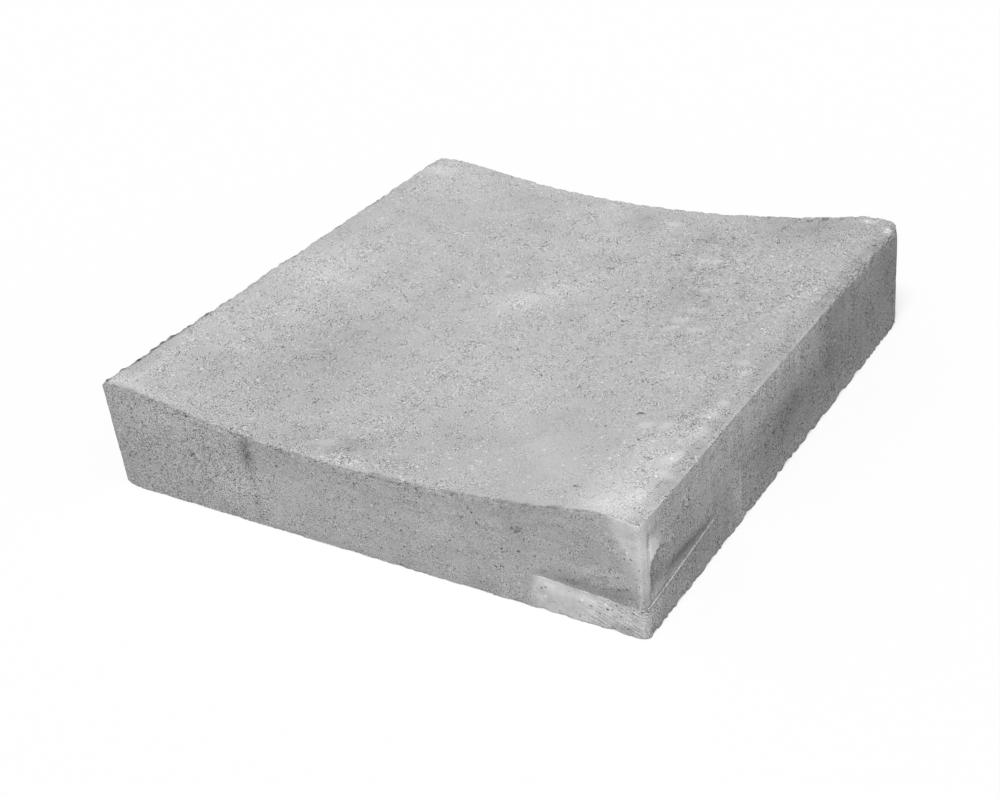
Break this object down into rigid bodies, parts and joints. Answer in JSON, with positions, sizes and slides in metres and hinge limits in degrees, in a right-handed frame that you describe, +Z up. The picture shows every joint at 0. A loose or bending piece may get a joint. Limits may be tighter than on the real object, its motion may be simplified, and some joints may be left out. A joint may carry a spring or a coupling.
{
  "type": "concrete gutter slab",
  "caption": "Square cast concrete slab whose shallow dished top, laid end to end with others, carries rain water away from a wall or paving.",
  "frame": {"origin": "middle of the underside, on the ground", "axes": "+X across the gutter from its left rim to its right rim, +Y along the gutter, +Z up out of the dished top"},
  "size_m": [0.35, 0.35, 0.07],
  "materials": {
    "concrete": "rough grey cast concrete, fine sandy grain with small pits and pale lime bloom"
  },
  "bodies": {
    "root": {"gutter_slab": "concrete"}
  },
  "joints": []
}
